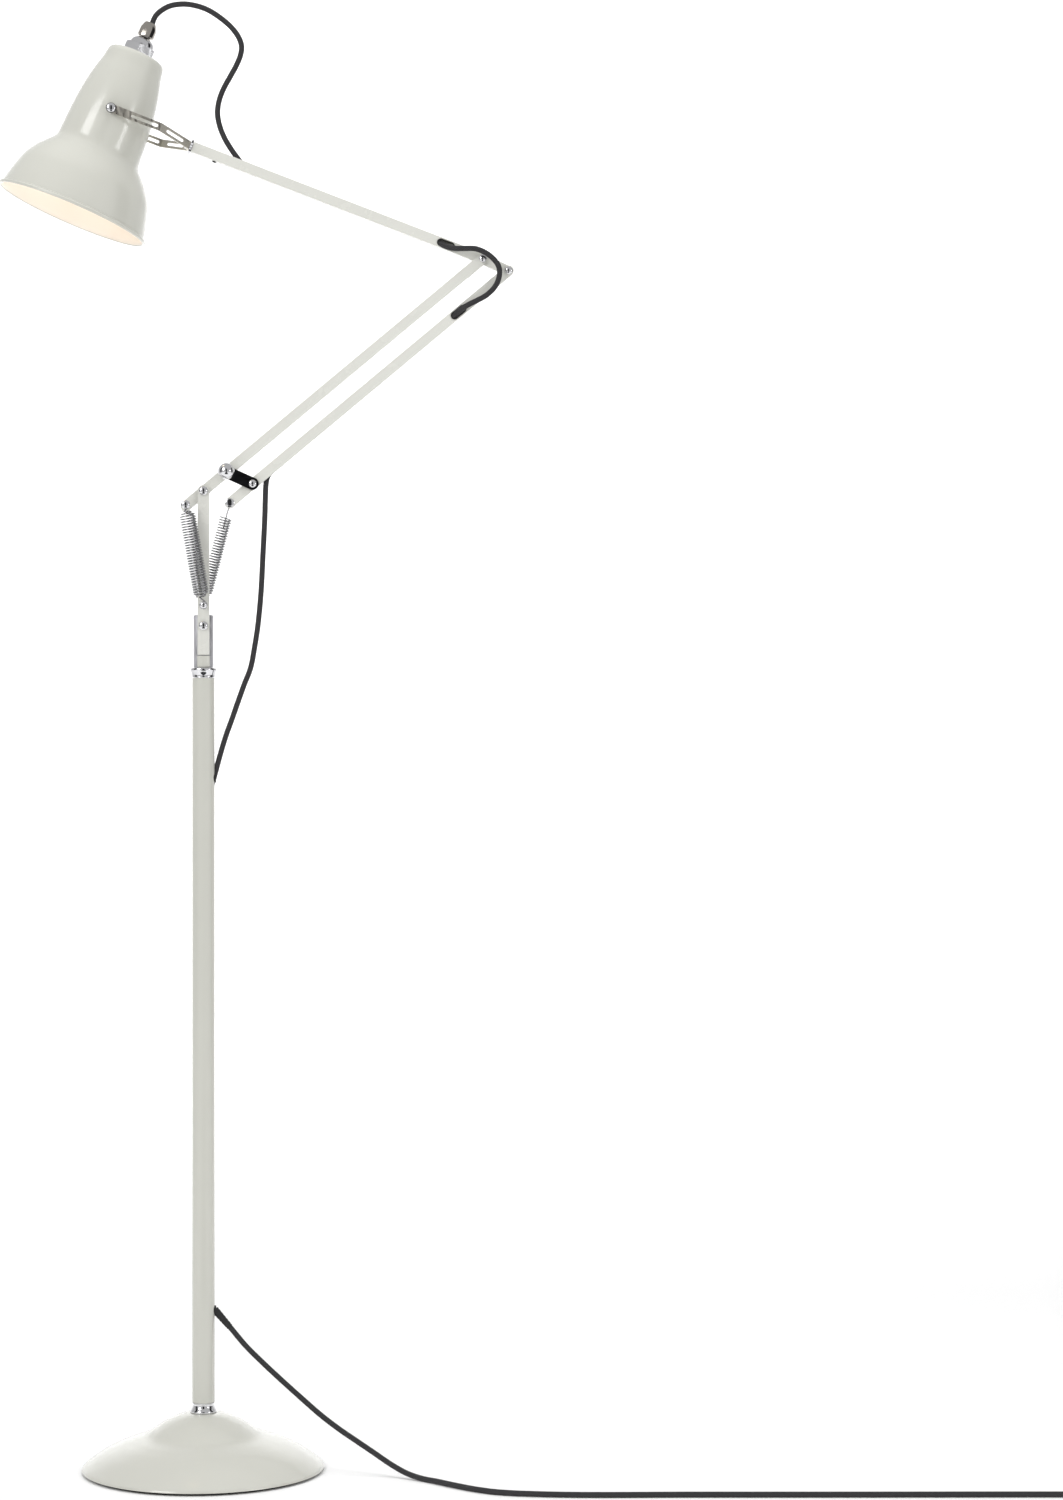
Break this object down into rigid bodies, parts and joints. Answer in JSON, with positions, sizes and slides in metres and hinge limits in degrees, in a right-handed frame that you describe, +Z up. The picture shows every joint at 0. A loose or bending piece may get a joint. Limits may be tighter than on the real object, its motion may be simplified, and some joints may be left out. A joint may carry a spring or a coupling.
{
  "type": "adjustable arm floor lamp",
  "caption": "Spring-balanced adjustable arm floor lamp with a domed round base, slim post, jointed square-tube arms, a bell-shaped painted shade, chrome fittings and dark fabric flex.",
  "frame": {"origin": "on the floor, on the axis of the post, at the middle of the base's underside", "axes": "+Z up along the post, +X towards the elbow with the shade at -X, -Y the near side where the ball knob and the pin heads are"},
  "size_m": [1.2223, 0.3563, 1.468],
  "materials": {
    "paint": "gloss",
    "arm_paint": "satin",
    "chrome": "polished",
    "nickel": "satin",
    "spring_steel": "satin",
    "dark_metal": "satin",
    "iron": "rough",
    "rubber": "matte",
    "flex_cloth": "woven",
    "plug_plastic": "satin",
    "holder_plastic": "satin",
    "brass": "satin",
    "bulb_glass": "frosted"
  },
  "bodies": {
    "stand": {"base_pad": "rubber", "base_weight": "iron", "base_cover": "paint", "base_rod": "spring_steel", "bottom_collar": "chrome", "pole": "paint", "mains_grommet": "rubber", "waist_grommet": "rubber", "top_collar": "chrome", "pole_cable": "flex_cloth", "mains_cord": "flex_cloth", "cord_coil": "flex_cloth", "plug_tail": "flex_cloth", "plug_body": "plug_plastic", "plug_pin_earth": "brass", "plug_pin_live": "brass", "plug_pin_neutral": "brass"},
    "bracket": {"spindle": "spring_steel", "swivel_block": "nickel", "cheek_near": "arm_paint", "cheek_far": "arm_paint", "bracket_screw": "chrome", "spring_anchor_pin": "chrome", "shoulder_pin": "chrome"},
    "lower_arm": {"lower_bar": "arm_paint", "tail_pin": "chrome", "left_spring_near": "spring_steel", "left_spring_far": "spring_steel", "ball_knob": "chrome", "elbow_pin": "chrome"},
    "link": {"link_plate": "dark_metal"},
    "spring_crank": {"tie_foot_pin": "chrome", "right_spring_hook": "spring_steel"},
    "tie": {"tie_bar": "arm_paint", "link_pin": "chrome", "tie_cable": "flex_cloth"},
    "upper_arm": {"upper_bar": "arm_paint", "upper_grommet": "rubber", "upper_cable": "flex_cloth", "end_plug": "nickel", "plug_screw": "dark_metal", "serrated_washer": "chrome", "tie_head_pin": "chrome"},
    "tie_outlet": {"tie_grommet": "rubber", "elbow_cord": "flex_cloth"},
    "yoke": {"yoke": "nickel", "yoke_screw": "chrome"},
    "head": {"shade": "paint", "pivot_screw_near": "chrome", "pivot_screw_far": "chrome", "lampholder": "holder_plastic", "bulb_cap": "brass", "bulb_glass": "bulb_glass", "hex_nut": "chrome", "dome_cap": "chrome", "cord_grip": "dark_metal", "head_cord": "flex_cloth"},
    "spring_end": {"right_spring": "spring_steel"},
    "waist_outlet": {"waist_cord": "flex_cloth"}
  },
  "joints": [
    {"name": "post_swivel", "type": "hinge", "parent": "stand", "child": "bracket", "pos_m": [0, 0, 0.802], "axis": [0, 0, 1], "range_deg": [-90, 90]},
    {"name": "shoulder", "type": "hinge", "parent": "bracket", "child": "lower_arm", "pos_m": [0, 0, 0.9786], "axis": [0, -1, 0], "range_deg": [-20, 20], "deforming": ["left_spring_near", "left_spring_far"]},
    {"name": "elbow", "type": "hinge", "parent": "lower_arm", "child": "upper_arm", "pos_m": [0.27987, 0, 1.21477], "axis": [0, -1, 0], "range_deg": [-50, 12]},
    {"name": "link_turn", "type": "hinge", "parent": "lower_arm", "child": "link", "pos_m": [0.02262, 0, 0.99769], "axis": [0, -1, 0], "range_deg": [-50, 12]},
    {"name": "crank_turn", "type": "hinge", "parent": "lower_arm", "child": "spring_crank", "pos_m": [0, 0, 0.9786], "axis": [0, -1, 0], "range_deg": [-50, 12]},
    {"name": "tie_turn", "type": "hinge", "parent": "spring_crank", "child": "tie", "pos_m": [0.02617, 0, 0.96695], "axis": [0, -1, 0], "range_deg": [-12, 50]},
    {"name": "outlet_turn", "type": "hinge", "parent": "upper_arm", "child": "tie_outlet", "pos_m": [0.30604, 0, 1.20312], "axis": [0, -1, 0], "range_deg": [-12, 50], "deforming": ["elbow_cord"]},
    {"name": "spring_draw", "type": "slide", "parent": "bracket", "child": "spring_end", "axis": [0.7547, 0, 0.6561], "range_m": [-0.02422, 0.00581], "deforming": ["right_spring"]},
    {"name": "outlet_travel", "type": "slide", "parent": "lower_arm", "child": "waist_outlet", "axis": [0.7547, 0, 0.6561], "range_m": [-0.02422, 0.00581], "deforming": ["waist_cord"]},
    {"name": "yoke_swivel", "type": "hinge", "parent": "upper_arm", "child": "yoke", "pos_m": [-0.0135, 0, 1.32329], "axis": [-0.9379, 0, 0.3469], "range_deg": [-60, 60]},
    {"name": "shade_tilt", "type": "hinge", "parent": "yoke", "child": "head", "pos_m": [-0.0906, 0, 1.35181], "axis": [0, -1, 0], "range_deg": [-35, 20], "deforming": ["head_cord"]}
  ],
  "couplings": [
    {"joint": "link_turn", "follows": "elbow", "ratio": 1},
    {"joint": "crank_turn", "follows": "elbow", "ratio": 1},
    {"joint": "tie_turn", "follows": "elbow", "ratio": -1},
    {"joint": "outlet_turn", "follows": "elbow", "ratio": -1},
    {"joint": "outlet_travel", "follows": "elbow", "m_per_rad": 0.027749},
    {"joint": "spring_draw", "follows": "elbow", "m_per_rad": 0.027749}
  ]
}
